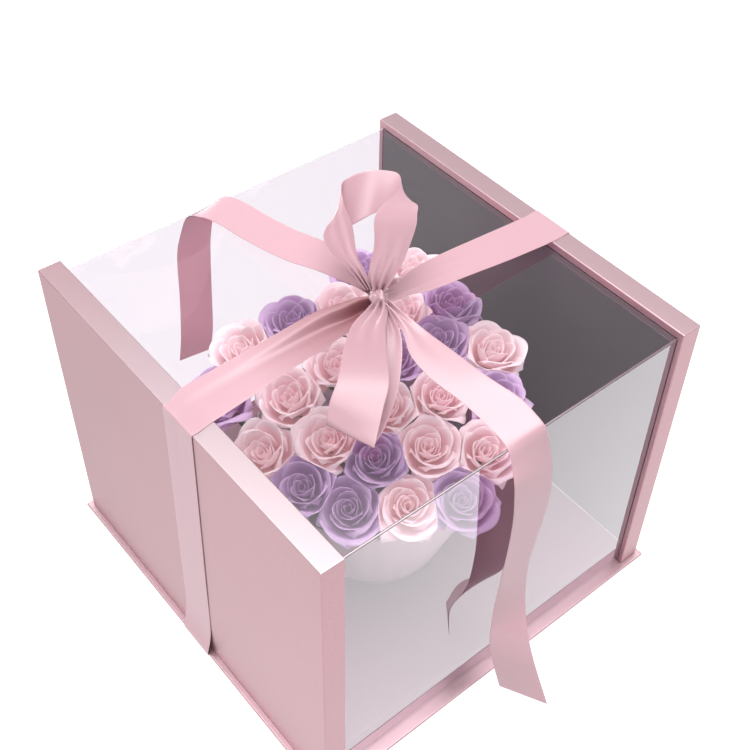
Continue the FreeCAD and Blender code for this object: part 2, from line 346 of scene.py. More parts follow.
def foil_card_finish(name, front, back, front_lit_top, back_lit_top):
    """Pearly foil paper over board: fine fibres, soft clouding and a satin gloss.

    The colours at the front and the back are given for upright faces, then for faces that look up.
    The paler colours for faces that look up are a painted highlight, and a darker back is painted shade.
    """
    finish = Finish(name)
    where = finish.place()
    cloud = finish.noise(where, 9.0, 2.0)
    fibre = finish.noise(where, (900, 900, 260), 2.0)
    low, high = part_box("left_panel_tray")
    # along runs from the left panel's front to its back and carries its painted shade and painted
    # highlight
    along = finish.ramp(finish.axis(where, "Y"), low.y, high.y, curve="LINEAR") ** 2
    dark, light = (finish.mix(along, tone(front, level), tone(back, level)) for level in (0.95, 1.05))
    shade = finish.mix(fibre * 0.10, finish.mix(cloud, dark, light), white)
    # Painted highlight: the colour for faces that look up
    pale = finish.mix(along, tone(front_lit_top), tone(back_lit_top))
    return finish.surface(
        Base_Color=finish.mix(finish.upward(), shade, pale), Roughness=0.34 + fibre * 0.10, Metallic=0.8,
        Normal=finish.bump(fibre, 0.06, fine_bump))


def plain_foil_finish():
    """Foil paper of one colour from front to back, with a painted highlight on faces that look up."""
    upright, pale = box().foil, box().lit_top_foil
    return foil_card_finish("foil_card", upright, upright, pale, pale)


def left_foil_finish():
    """Foil paper with painted shade that deepens towards the back, and a painted highlight on its top that
    is brighter at the front.
    """
    return foil_card_finish(
        "foil_left", box().foil, box().back_shade_foil, box().front_lit_top, box().back_lit_top)


# Finishes with one grain: its scale and detail, the surface's roughness without it and what it adds,
# and the strength and depth of its bump
grains = {
    "grey_liner": (700.0, 2.0, 0.45, 0.1, 0.08, fine_bump),
    "stem_green": ((500, 500, 60), 3.0, 0.55, 0.0, 0.15, 0.4 * mm),
    "flower_foam": (900.0, 2.0, 0.95, 0.0, 0.5, 1 * mm),
    "wrap_paper": (450.0, 4.0, 0.7, 0.0, 0.1, 0.3 * mm),
    "plinth_edge": (120.0, 3.0, 0.5, 0.0, 0.0, 0.0),
    "clear_edge": (300.0, 2.0, 0.3, 0.0, 0.0, 0.0),
}


def grained_finish(name, dark, light, **sockets):
    """A plain surface whose grain runs from a dark to a light shade."""
    scale, detail, roughness, rougher, strength, depth = grains[name]
    finish = Finish(name)
    grain = finish.noise(finish.place(), scale, detail)
    if strength:
        sockets["Normal"] = finish.bump(grain, strength, depth)
    return finish.surface(
        Base_Color=finish.mix(grain, dark, light),
        Roughness=roughness + grain * rougher if rougher else roughness, **sockets)


def shades(rgb, dark, light):
    """A darker and a lighter shade of a colour."""
    return tone(rgb, dark), tone(rgb, light)


def plinth_finish():
    """Deep rose card, softly clouded."""
    finish = Finish("plinth_card")
    where = finish.place()
    grain = finish.noise(where, 500.0, 2.0)
    cloud = finish.noise(where, 8.0, 3.0)
    return finish.surface(
        Base_Color=finish.mix(cloud, *shades(box().plinth, 0.97, 1.04)),
        Roughness=0.34 + grain * 0.1, Normal=finish.bump(grain, 0.06, fine_bump))


def clear_finish(name, tint, index):
    """Clear plastic sheet: sees through with a faint tint, and mirrors more at a slant."""
    finish = Finish(name)
    gloss = finish.add("Fresnel", None, {"IOR": index})
    behind = finish.add("NewGeometry", None, None, "Backfacing")
    both_faces = 1.8
    through = finish.add("BsdfTransparent", None, {"Color": tone(tint)})
    mirror = finish.add("BsdfGlossy", None, {"Color": tone((0.99, 0.965, 1.0)), "Roughness": 0.0})
    return finish.end(finish.add("MixShader", None, {
        0: gloss * (1 - behind) * both_faces, 1: through, 2: mirror}))


def crease_finish():
    """Creased edge of the clear sheet, with a painted highlight in the middle and painted dark edges where
    it turns away from view.
    """
    finish = Finish("clear_crease")
    away = finish.add("LayerWeight", None, {"Blend": 0.5}, "Facing")
    grain = finish.noise(finish.place(), 300.0, 2.0)
    # Painted highlight along the crease's middle; the dark colour below is painted dark edges where it
    # turns away from view
    pale = finish.mix(grain, tone((0.52, 0.46, 0.50)), tone((0.62, 0.56, 0.60)))
    return finish.surface(
        Base_Color=finish.mix((away * 5) ** 2, pale, tone((0.14, 0.10, 0.11))), Roughness=0.4,
        Specular_IOR_Level=0.2, Normal=finish.bump(grain, 0.05, fine_bump))


def satin_finish(name, upright, flat, gloss, knot_shade=0):
    """Satin weave: long floats along the band, a bright gloss and light that shines through.

    upright and flat are the shares of the light that shine through where the band stands or lies.
    The last argument is 1 where painted shade darkens the band beside the knot.
    """
    finish = Finish(name)
    where = finish.place("UV")
    rgb = ribbon().satin
    floats = finish.noise(where, (1 / ribbon().thread, 25.0, 1.0), 2.0)
    cross = finish.noise(where, (60.0, 1 / ribbon().thread, 1.0), 1.0)
    weave = floats * 0.7 + cross * 0.3
    # Painted shade on the band beside the knot, fading away from it
    knot_shade_fade = finish.ramp(
        finish.axis(where, "Y"), knot_shade_start, knot_shade_end, knot_shade, 0.0, "LINEAR")
    shade = finish.mix(weave, *shades(rgb, 0.94, 1.06))
    through = tone([channel ** 0.8 for channel in rgb])
    return finish.thin(
        upright + abs(finish.upward()) * (flat - upright), through,
        Base_Color=finish.mix(knot_shade_fade, shade, tone(ribbon().deep_satin)),
        Roughness=0.28 + weave * 0.12, Specular_IOR_Level=gloss, Sheen_Weight=0.1, Sheen_Roughness=0.4,
        Normal=finish.bump(weave, 0.06, fine_bump))


def petal_finish(kind):
    """Velvety petals: paler towards the rim, deeper in the heart, painted shade in the folds, a painted
    glow for scattered light, fine veins.
    """
    finish = Finish(kind + "_petals")
    outer, heart, fold_shade = (getattr(bouquet(), kind + part) for part in ("_outer", "_heart", "_fold"))
    depth, rim = (
        finish.add("Attribute", {"attribute_name": name}, None, "Fac") for name in ("heart", "rim"))
    vein = finish.noise(finish.place("UV"), (60.0, 5.0, 1.0), 3.0)
    pale = tuple((channel * 1.15 + 1) / 2 for channel in outer)
    shade = finish.mix(depth, tone(outer), tone(heart))
    shade = finish.mix(rim ** 2 * (1 - depth) * 0.5, shade, tone(pale))
    shade = finish.mix(vein * 0.12, shade, tone(heart, 0.95))
    # Painted shade low on each petal, where it sinks into the folds
    fold = finish.ramp(rim, 0.2, 0.72, fold_shade_strength, 0.0)
    shade = finish.mix(fold, shade, tone(fold_shade))
    # Emission: a painted glow that stands in for light scattered between the petals
    return finish.thin(
        petal_glow, tone(outer), Base_Color=shade, Roughness=0.6 + vein * 0.1,
        Sheen_Weight=0.15, Sheen_Roughness=0.5, Emission_Color=shade,
        Emission_Strength=petal_scatter_glow, Normal=finish.bump(vein, 0.12, 0.4 * mm))


# Meshes

# Edges that turn by more than this stay sharp
sharp_angle = math.radians(40)


def new_piece(name, mesh_maker, *finishes):
    """An object from a bmesh that mesh_maker fills."""
    shape = bmesh.new()
    mesh_maker(shape)
    mesh = bpy.data.meshes.new(name)
    shape.to_mesh(mesh)
    shape.free()
    piece = bpy.data.objects.new(name, mesh)
    bpy.context.scene.collection.objects.link(piece)
    for finish in finishes:
        mesh.materials.append(finish)
    return piece


def seat(piece, body, slot, *nodes):
    """The piece moves with a body and stands for CAD nodes; the slot is not used."""
    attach(piece, body)
    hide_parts(*nodes)


def shade_smooth(piece):
    """Smooth rounded edges between large faces that stay flat."""
    for polygon in piece.data.polygons:
        polygon.use_smooth = True
    piece.data.set_sharp_from_angle(angle=sharp_angle)
    piece.modifiers.new("Flat faces", "WEIGHTED_NORMAL").keep_sharp = True


def thicken(piece, thickness):
    """Gives a sheet its thickness, half to each side."""
    solidify = piece.modifiers.new("Thickness", "SOLIDIFY")
    solidify.thickness = thickness
    solidify.offset = 0


def round_off(shape, edges, radius):
    bmesh.ops.bevel(
        shape, geom=list(edges), offset=radius, segments=3, profile=0.5, affect="EDGES",
        clamp_overlap=True)


def rounded_block(low, high, radius):
    """A maker for a box with rounded edges."""
    def maker(shape):
        corners = bmesh.ops.create_cube(shape, size=1.0)["verts"]
        for vertex in corners:
            for axis in range(3):
                vertex.co[axis] = high[axis] if vertex.co[axis] > 0 else low[axis]
        round_off(shape, {edge for vertex in corners for edge in vertex.link_edges}, radius)
    return maker


def point_rows(rows, columns, point):
    """Rows of points from a function of the row and the column."""
    return [[point(j, i) for i in range(columns)] for j in range(rows)]


def join_rings(shape, first, second):
    """Faces between two closed rings of vertices."""
    faces = []
    for i in range(len(first)):
        j = (i + 1) % len(first)
        faces.append(shape.faces.new((first[i], first[j], second[j], second[i])))
    return faces


def join_rows(shape, uv, lattice, across, along):
    """Faces between rows of vertices; across and along are the whole sheet's lengths in its UV map."""
    last_row = len(lattice) - 1
    last_column = len(lattice[0]) - 1
    for j in range(last_row):
        for i in range(last_column):
            corners = ((j, i), (j, i + 1), (j + 1, i + 1), (j + 1, i))
            face = shape.faces.new([lattice[a][b] for a, b in corners])
            face.smooth = True
            for loop, (a, b) in zip(face.loops, corners):
                loop[uv].uv = (across * b / last_column, along * a / last_row)


def sheet_maker(rows, across, along, closed=False):
    """A maker for a sheet through rows of points; a closed one has its meeting points welded."""
    def maker(shape):
        uv = shape.loops.layers.uv.new("UVMap")
        lattice = [[shape.verts.new(point) for point in row] for row in rows]
        join_rows(shape, uv, lattice, across, along)
        if closed:
            bmesh.ops.remove_doubles(shape, verts=shape.verts[:], dist=0.01 * mm)
    return maker


def smooth_path(points, count):
    """Points along a curve through the given points, closer together where those are."""
    points = [Vector(p) for p in points]
    stops = [0.0]
    for before, after in zip(points, points[1:]):
        stops.append(stops[-1] + math.sqrt((after - before).length + 1e-9))
    found = []
    for step in range(count):
        at = stops[-1] * step / (count - 1)
        i = max(k for k in range(len(points) - 1) if stops[k] <= at + 1e-12)
        found.append(curve_point(points, stops, i, at))
    return found


def curve_point(points, stops, i, at):
    """Point on a Catmull-Rom curve between the points i and i + 1."""
    last = len(points) - 1
    span = stops[i + 1] - stops[i]
    part = (at - stops[i]) / span
    start, end = points[i], points[i + 1]
    slope_in = (end - start) / span
    slope_out = slope_in
    if i > 0:
        slope_in = (end - points[i - 1]) / (stops[i + 1] - stops[i - 1])
    if i + 1 < last:
        slope_out = (points[i + 2] - start) / (stops[i + 2] - stops[i])
    a = 2 * part ** 3 - 3 * part ** 2 + 1
    b = part ** 3 - 2 * part ** 2 + part
    c = -2 * part ** 3 + 3 * part ** 2
    d = part ** 3 - part ** 2
    return start * a + slope_in * (b * span) + end * c + slope_out * (d * span)


def round_point(centre, radius, angle, height):
    """A point about an upright axis."""
    return Vector((centre.x + radius * math.cos(angle), centre.y + radius * math.sin(angle), height))


def node_centre(node):
    low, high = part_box(node)
    return (low + high) / 2


def node_points(node):
    """Points of a CAD solid."""
    return [vertex.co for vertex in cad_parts[node].data.vertices]


def mean(points):
    return sum(points, Vector()) / len(points)


# Base and plinth

# Folded edges of the plinth that look right by more than this are painted pale, as a painted highlight
highlight_facing = 0.2


class FLOWERBOX_OT_base(bpy.types.Operator):
    """Base board and plinth in card"""

    bl_idname = "flowerbox.base"
    bl_label = "Base and plinth"

    def execute(self, context):
        # A painted highlight for the plinth's edges that look right
        painted_edge_highlight = grained_finish("plinth_edge", tone((0.75, 0.70, 0.72)), white)
        for node, slot, finishes in (
                ("base_board", "rose_foil_card", (plain_foil_finish(),)),
                ("plinth", "pale_plinth_card", (plinth_finish(), painted_edge_highlight))):
            piece = new_piece(node + "_card", rounded_block(*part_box(node), box().edge_radius), *finishes)
            shade_smooth(piece)
            seat(piece, "base", slot, node)
            if len(finishes) > 1:
                # Edge faces that look right take the painted highlight
                for polygon in piece.data.polygons:
                    highlighted = polygon.area < edge_area and polygon.normal.x > highlight_facing
                    polygon.material_index = int(highlighted)
        return {"FINISHED"}


# Side panels

def tray_maker(name, side):
    """A maker for a panel tray: a block with a pocket in its inner face."""
    low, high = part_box(name + "_panel_tray")
    mouth_low = Vector((0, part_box("clear_front")[0].y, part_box(name + "_panel_liner")[0].z))
    mouth_high = Vector((0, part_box("clear_back")[1].y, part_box("clear_top")[1].z))
    inner_x, outer_x = (low.x, high.x) if side > 0 else (high.x, low.x)
    floor_x = inner_x + side * pocket_depth

    def maker(shape):
        def ring(x, bottom, top):
            around = ((bottom.y, bottom.z), (top.y, bottom.z), (top.y, top.z), (bottom.y, top.z))
            return [shape.verts.new((x, y, z)) for y, z in around]

        outer = ring(outer_x, low, high)
        inner = ring(inner_x, low, high)
        mouth = ring(inner_x, mouth_low, mouth_high)
        floor = ring(floor_x, mouth_low, mouth_high)
        shape.faces.new(outer)
        for first, second in ((outer, inner), (inner, mouth), (mouth, floor)):
            join_rings(shape, first, second)
        shape.faces.new(floor)
        bmesh.ops.recalc_face_normals(shape, faces=shape.faces[:])
        edges = [e for e in shape.edges if not any(v in floor for v in e.verts)]
        edges = [e for e in edges if len({v in mouth for v in e.verts}) == 1]
        round_off(shape, edges, box().edge_radius)
    return maker


class FLOWERBOX_OT_panels(bpy.types.Operator):
    """Side panels: wrapped trays with dark liners"""

    bl_idname = "flowerbox.panels"
    bl_label = "Side panels"

    def execute(self, context):
        dark = grained_finish("grey_liner", *shades(box().liner, 0.85, 1.2))
        for name, side, foil in (("left", -1, left_foil_finish()), ("right", 1, plain_foil_finish())):
            tray = new_piece(name + "_panel_wrapped", tray_maker(name, side), foil)
            shade_smooth(tray)
            seat(tray, "cover", "rose_foil_card", name + "_panel_tray")
            block = rounded_block(*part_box(name + "_panel_liner"), liner_edge)
            liner = new_piece(name + "_panel_lining", block, dark)
            shade_smooth(liner)
            seat(liner, "cover", "grey_liner_card", name + "_panel_liner")
        return {"FINISHED"}


# Clear panes

# Place of the crease about the top pane's front edge, and its rounding, as shares of its width
crease_front = 0.25
crease_rise = 0.2
crease_radius = 0.49


def pane_maker(node):
    """A maker for a pane; the top one ends in a creased edge along the front."""
    low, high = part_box(node)
    size = box().crease

    def maker(shape):
        rounded_block(low, high, pane_edge)(shape)
        for face in shape.faces:
            face.material_index = int(face.calc_area() < edge_area)
        sheet = set(shape.faces)
        if node == "clear_top":
            start_y = low.y - crease_front * size
            end_z = high.z + crease_rise * size
            start = Vector((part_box("left_panel_tray")[1].x, start_y, end_z - size))
            end = Vector((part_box("right_panel_tray")[0].x, start_y + size, end_z))
            rounded_block(start, end, crease_radius * size)(shape)
        for face in set(shape.faces) - sheet:
            face.material_index = 2
    return maker


class FLOWERBOX_OT_panes(bpy.types.Operator):
    """Clear front, back and top panes"""

    bl_idname = "flowerbox.panes"
    bl_label = "Clear panes"

    def execute(self, context):
        cut_edge = grained_finish(
            "clear_edge", tone((0.70, 0.67, 0.70)), tone((0.85, 0.82, 0.85)), Alpha=0.4)
        edges = cut_edge, crease_finish()
        for node, tint, index in (
                ("clear_front", box().upright_tint, clear_index),
                ("clear_back", box().upright_tint, back_index),
                ("clear_top", box().flat_tint, clear_index)):
            piece = new_piece(
                node + "_sheet", pane_maker(node), clear_finish(node, tint, index), *edges)
            shade_smooth(piece)
            seat(piece, "cover", "clear_sheet", node)
        return {"FINISHED"}


# Wrap and foam

wrap_levels = 14
points_per_pleat = 8
# How sharp a pleat is, and the share of its depth at the wrap's foot
pleat_power = 0.7
foot_pleat = 0.3
foam_points = 96
foam_steps = 12


def add_foam(low, high, radius_at):
    """Foam core inside the wrap, with a domed top of open pores."""
    centre = (low + high) / 2
    inset = bouquet().pleat_depth + 1 * mm
    foot_z = low.z + 0.5 * mm
    rim_z = high.z - foam_below_rim
    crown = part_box("flower_foam")[1].z - rim_z
    profile = [(0, foot_z)]
    for step in range(foam_steps + 1):
        height = max(foot_z, low.z + (rim_z - low.z) * step / foam_steps)
        profile.append((radius_at(height) - inset, height))
    rim = profile[-1][0]
    for step in range(1, foam_steps + 1):
        inward = 1 - step / foam_steps
        profile.append((rim * inward, rim_z + crown * (1 - inward * inward)))
    chance = random.Random(5)

    def point(j, i):
        radius, height = profile[j]
        if height > rim_z and radius > 0:
            height += chance.uniform(-1, 1) * pore_depth
        return round_point(centre, radius, math.tau * i / foam_points, height)

    rows = [row + row[:1] for row in point_rows(len(profile), foam_points, point)]
    # The foam's colour doubles as painted shade between the heads
    foam = new_piece(
        "foam_core", sheet_maker(rows, math.tau * rim, high.z - low.z, True),
        grained_finish("flower_foam", *shades(bouquet().foam, 0.5, 1.3)))
    seat(foam, "base", "flower_foam", "flower_foam")


class FLOWERBOX_OT_wrap(bpy.types.Operator):
    """Pleated paper wrap and the foam inside it"""

    bl_idname = "flowerbox.wrap"
    bl_label = "Wrap and foam"

    def execute(self, context):
        low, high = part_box("bouquet_wrap")
        centre = (low + high) / 2
        rim_radius = bouquet().gather * (high.x - low.x) / 2
        foot = [point for point in node_points("bouquet_wrap") if point.z < low.z + 1 * mm]
        foot_radius = max((point.xy - centre.xy).length for point in foot)
        tall = high.z + bouquet().collar - low.z
        around = points_per_pleat * bouquet().pleats

        def radius_at(height):
            return foot_radius + (rim_radius - foot_radius) * (height - low.z) / tall

        def point(level, step):
            rise = level / wrap_levels
            angle = math.tau * step / around
            ridge = abs(math.sin(bouquet().pleats * angle / 2)) ** pleat_power
            fold = bouquet().pleat_depth * (1 - ridge)
            radius = radius_at(low.z + tall * rise) - fold * (foot_pleat + (1 - foot_pleat) * rise)
            return round_point(centre, radius, angle, low.z + (tall - fold) * rise)

        rows = point_rows(wrap_levels + 1, around + 1, point)
        wrap = new_piece(
            "paper_wrap", sheet_maker(rows, math.tau * rim_radius, high.z - low.z, True),
            grained_finish("wrap_paper", *shades(bouquet().paper, 0.95, 1.05)))
        thicken(wrap, paper_thickness)
        seat(wrap, "base", "wrap_paper", "bouquet_wrap")
        add_foam(low, high, radius_at)
        return {"FINISHED"}


# Roses

# Heads that their neighbours push aside, in millimetres
pushed_heads = {
    "rose_lilac_09": (8, 9, 0), "rose_lilac_10": (2, 3, 0),
    "rose_pink_05": (-6, -7, 0), "rose_pink_14": (7, 8, 0),
}
# Height of the part of a CAD head whose middle is taken as the head's
head_height = 22 * mm


def head_place(node, axis):
    """Middle of a rose's widest whorl, from the top of its CAD solid."""
    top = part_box(node)[1].z
    middle = mean([point for point in node_points(node) if point.z > top - head_height])
    middle = axis.lerp(middle, bouquet().gather)
    middle.z = top - heart_rise
    return middle + Vector(pushed_heads.get(node, (0, 0, 0))) * mm


def foot_place(node):
    """Lower end of a rose's stem."""
    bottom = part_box(node)[0].z
    return mean([point for point in node_points(node) if point.z < bottom + 1 * mm])


class FLOWERBOX_OT_roses(bpy.types.Operator):
    """Rose heads of whorled petals on stems"""

    bl_idname = "flowerbox.roses"
    bl_label = "Roses"

    def execute(self, context):
        stem = grained_finish("stem_green", *shades(bouquet().stem, 0.8, 1.25))
        finishes = {kind: petal_finish(kind) for kind in ("pink", "lilac")}
        nodes = sorted(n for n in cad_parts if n.startswith("rose_"))
        axis = node_centre("bouquet_wrap")
        heads = {node: head_place(node, axis) for node in nodes}
        crown = max(heads.values(), key=lambda place: place.z)
        pivot = crown - Vector((0, 0, bouquet().dome_radius))
        reach = {node: (place - axis).xy.length for node, place in heads.items()}
        widest = max(reach.values())
        for index, node in enumerate(nodes):
            kind = node.split("_")[1]
            facing = (heads[node] - pivot).normalized()
            others = [heads[other] for other in nodes if other != node]
            maker = rose_maker(
                heads[node], facing, foot_place(node), index, (reach[node] / widest) ** 2, others)
            rose = new_piece(node.replace("rose", "bloom"), maker, finishes[kind], stem)
            thicken(rose, bouquet().petal_thickness)
            seat(rose, "base", kind + "_petals", node)
        return {"FINISHED"}


def pressed(point, head, others):
    """A petal's point, drawn back to its own rose's side of the plane midway to each other head."""
    for other in others:
        towards = (other - head).normalized()
        over = (point - (head + other) / 2).dot(towards) + press_gap
        if over > 0:
            point = point - towards * (over * press)
    return point


golden_turn = 2.4
# Where the calyx meets the petals, as a share of the cup's depth
neck_depth = 0.8
# Whorls from the heart outwards: the number of petals, then from the first petal to the last the rim's
# radius and height as shares of the bloom, the half width in radians and the roll of the lip as a share
rose_whorls = (
    (10, (0.08, 0.36), (0.34, 0.46), (1.70, 1.25), (0.02, 0.05)),
    (7, (0.45, 0.62), (0.50, 0.50), (1.20, 1.05), (0.06, 0.10)),
    (5, (0.70, 0.76), (0.44, 0.36), (1.10, 1.00), (0.11, 0.15)),
)


def rose_maker(head, facing, foot, index, out, others):
    """A maker for one rose: petals, then calyx and stem.

    index is its number in the bouquet. out runs from 0 on the bouquet's axis to 1 at its rim.
    others are the heads that it may press on.
    """
    chance = random.Random(index + 11)
    turn = facing.to_track_quat("Z", "Y")
    size = bouquet().inner_bloom + (bouquet().outer_bloom - bouquet().inner_bloom) * out
    scale = chance.uniform(0.95, 1.06) * size

    def placed(point):
        return pressed(head + turn @ (point * scale), head, others)

    def maker(shape):
        layers = (shape.verts.layers.float.new("heart"), shape.verts.layers.float.new("rim"))
        uv = shape.loops.layers.uv.new("UVMap")
        angle = chance.uniform(0, math.tau)
        for ring, (count, *spans) in enumerate(rose_whorls):
            for petal in range(count):
                part = petal / (count - 1)
                sizes = [first + (last - first) * part for first, last in spans]
                openness = (ring + part) / len(rose_whorls)
                angle += golden_turn + chance.uniform(-0.2, 0.2)
                points = petal_points(openness, angle, sizes, chance)
                add_petal(shape, layers, uv, points, openness, placed)
        add_stem(shape, foot, head - facing * bouquet().cup_depth * neck_depth, facing)
    return maker


petal_columns = 15
petal_rows = 12
# How much closer a petal's rows stand towards its rim
row_crowding = 1.4
# Where its lip and its sides begin to roll out, as shares of its height and half width
lip_start = 0.76
side_start = 0.7
# Reach of its foot as a share of its rim's, and how fast it widens from there
foot_reach = 0.24
belly_power = 2.3
# Height at which it is widest and the height over which it narrows to nothing
widest_at = 0.48
narrowing = 0.66
# Depth of its foot as a share of the cup's, in the heart, and what the outermost petals add
heart_foot = 0.35
outer_foot = 0.5
# How far the heart's petals close over, how far all petals wind inwards, and what the heart's add
heart_closing = 0.32
winding = 0.05
heart_winding = 0.11
# How steeply the rim falls to the sides, and how much the lip's roll wavers and ripples
arch_power = 2.4
waver = 0.3
rippling = 0.06


def petal_points(openness, angle, sizes, chance):
    """Rows of one petal's points about the rose's own axis; openness is 0 at the heart, 1 outside."""
    rim, rise, half_width, curl = sizes
    radius = bouquet().bloom_radius
    rim *= radius * chance.uniform(0.96, 1.05)
    top = rise * radius + chance.uniform(-1.0, 1.0) * mm
    curl *= radius * chance.uniform(0.7, 1.3)
    base = -bouquet().cup_depth * (heart_foot + outer_foot * openness)
    fall = chance.uniform(0.26, 0.40)
    close = heart_closing * (1 - openness) ** 2
    spiral = winding + heart_winding * (1 - openness)
    wave = chance.uniform(0, math.tau)

    def point(j, i):
        v = 1 - (1 - j / (petal_rows - 1)) ** row_crowding
        u = 2 * i / (petal_columns - 1) - 1
        lip = max(0.0, (v - lip_start) / (1 - lip_start)) ** 2
        belly = foot_reach + (1 - foot_reach) * (1 - (1 - v) ** belly_power)
        spread = math.sqrt(1 - ((v - widest_at) / narrowing) ** 2)
        arch = 1 - fall * abs(u) ** arch_power
        side = max(0.0, (abs(u) - side_start) / (1 - side_start)) ** 2 * v
        roll = curl * (lip * (1 + waver * math.sin(3 * u + wave)) + side / 2)
        ripple = rippling * curl * math.sin(7 * u + 2 * wave) * lip
        reach = rim * belly * (1 - close * v ** 3) * (1 + spiral * u) + roll
        height = base + (top - base) * v * arch - roll / 2 + ripple
        return round_point(Vector(), reach, angle + u * half_width * spread, height)

    return point_rows(petal_rows, petal_columns, point)


def add_petal(shape, layers, uv, points, openness, placed):
    """One petal's faces, with the depth towards the heart and the height kept at each vertex."""
    heart_layer, rim_layer = layers

    def vertex(j, i):
        rise = j / (petal_rows - 1)
        made = shape.verts.new(placed(points[j][i]))
        made[heart_layer] = (1 - openness) * (1 - 0.35 * rise)
        made[rim_layer] = rise
        return made

    join_rows(shape, uv, point_rows(petal_rows, petal_columns, vertex), 1, 1)


stem_sides = 10
# Way along the stem and the radius there, as a share of the stem's
stem_profile = ((0.0, 1.0), (0.6, 1.0), (0.82, 1.15), (0.90, 2.6), (1.0, 4.2), (1.06, 4.6))


def add_stem(shape, foot, neck, facing):
    """Stem from the foam up, swelling into the calyx under the petals."""
    radius = bouquet().stem_radius
    span = (neck - foot).length
    rings = []
    for along, swell in stem_profile:
        bend = min(1.0, along) ** 2
        centre = foot.lerp(neck, min(1.0, along)) + facing * (max(0.0, along - 1) * span)
        axis = Vector((0, 0, 1)).lerp(facing, bend).normalized()
        side = axis.cross(Vector((0, 1, 0))).normalized()
        front = axis.cross(side)
        reach = radius * swell
        ring = []
        for step in range(stem_sides):
            angle = math.tau * step / stem_sides
            out = side * (reach * math.cos(angle)) + front * (reach * math.sin(angle))
            ring.append(shape.verts.new(centre + out))
        rings.append(ring)
    for lower, upper in zip(rings, rings[1:]):
        for face in join_rings(shape, lower, upper):
            face.material_index = 1
            face.smooth = True
    shape.faces.new(list(reversed(rings[0]))).material_index = 1


# Ribbon

band_columns = 25
# Rows of points along a loop, along a strap or the back tail, and along the front tail
loop_rows = 110
strap_rows = 130
tail_rows = 150
# How much the band's broad faces weigh in its shading
broad_weight = 90
# Edges of the ribbon's lengths: pairs of points across it, in millimetres from the knot's centre
left_top = (
    ((-6, 4, -1), (-6, -4, -3)), ((-14, 8, -1), (-13, -7, -4)), ((-27, 12, -3), (-24, -10, -5)),
    ((-45, 18, -5), (-44, -11, -6)), ((-80, 21, -8), (-85, -13, -8)), ((-128, 24, -12), (-130, -15, -12)),
)
right_top = (
    ((6, 4, -1), (6, -4, -3)), ((14, 6, -1), (13, -6, -4)), ((26, 9, -3), (26, -8, -4)),
    ((47, 15, -5), (42, -13, -5)), ((74, 17, -7), (80, -17, -7)), ((120, 17, -11), (124, -20, -11)),
)
front_loop = (
    ((-6, -4, 2), (1, -8, 2)), ((-18, -8, 3), (-3, -16, 3)), ((-36, -15, 5), (-20, -34, 6)),
    ((-57, -32, 9), (-38, -57, 10)), ((-80, -54, 8), (-55, -80, 9)), ((-93, -62, 1), (-69, -91, 1)),
    ((-100, -67, -8), (-81, -100, -8)), ((-101, -68, -14), (-88, -105, -14)),
    ((-97, -64, -17), (-84, -101, -17)), ((-84, -55, -17), (-70, -94, -17)),
    ((-62, -38, -15), (-46, -78, -15)), ((-40, -24, -11), (-26, -60, -11)),
    ((-20, -14, -5), (-8, -38, -5)), ((-8, -6, -1), (0, -14, -1)), ((-4, -4, 1), (3, -7, 1)),
)
back_loop = (
    ((0, 6, 4), (6, 0, 4)), ((0, 12, 15), (11, -4, 16)), ((13, 21, 33), (22, -5, 34)),
    ((23, 33, 46), (35, -1, 54)), ((34, 38, 50), (41, 5, 60)), ((52, 44, 50), (46, 10, 61)),
    ((64, 51, 51), (50, 19, 56)), ((68, 59, 53), (48, 36, 42)), ((63, 68, 53), (40, 50, 34)),
    ((55, 76, 52), (32, 55, 29)), ((43, 80, 52), (20, 57, 26)), ((31, 80, 51), (9, 56, 30)),
    ((23, 74, 52), (-2, 53, 40)), ((15, 60, 47), (-11, 48, 46)), ((10, 44, 40), (-19, 42, 42)),
    ((1, 26, 26), (-17, 31, 31)), ((-1, 13, 15), (-10, 19, 18)), ((0, 7, 6), (-4, 10, 6)),
)
front_tail = (
    ((-2, -8, 0), (4, -6, 1)), ((-1, -18, -2), (6, -16, -1)), ((-5, -36, -4), (8, -32, -3)),
    ((-15, -57, -6), (10, -50, -5)), ((-17, -82, -9), (12, -78, -5)), ((-13, -112, -12), (14, -110, -5)),
    ((-12, -140, -15), (20, -138, -8)), ((-12, -155, -18), (20, -154, -11)),
    ((-13, -163, -23), (20, -164, -15)), ((-14, -168, -31), (22, -168, -28)),
    ((-18, -176, -42), (24, -172, -47)), ((-18, -178, -57), (24, -175, -63)),
    ((-16, -178, -80), (26, -175, -88)), ((-15, -177, -112), (25, -173, -123)),
    ((-15, -175, -153), (21, -171, -172)), ((-18, -175, -192), (20, -173, -206)),
    ((-22, -178, -213), (15, -181, -223)), ((-26, -182, -227), (6, -194, -232)),
    ((-25, -187, -251), (4, -207, -256)), ((-16, -192, -296), (11, -225, -311)),
)
back_tail = (
    ((2, 8, 1), (-3, 7, 0)), ((5, 18, 6), (-4, 18, 0)), ((12, 39, 7), (-8, 34, -1)),
    ((13, 71, 0), (-14, 62, -5)), ((6, 117, -9), (-21, 86, -9)), ((2, 149, -13), (-26, 114, -13)),
    ((0, 175, -16), (-30, 143, -16)), ((-4, 196, -19), (-33, 170, -18)),
    ((-10, 203, -22), (-38, 188, -20)), ((-14, 206, -30), (-43, 203, -27)),
    ((-17, 208, -50), (-48, 209, -47)), ((-20, 209, -72), (-53, 211, -70)),
    ((-23, 210, -123), (-56, 211, -120)), ((-26, 210, -170), (-60, 211, -165)),
    ((-32, 208, -195), (-66, 208, -190)),
)


def from_knot(offsets):
    """Edge pairs given in millimetres from the knot's centre."""
    centre = node_centre("bow_knot")
    return [tuple(centre + Vector(point) * mm for point in pair) for pair in offsets]


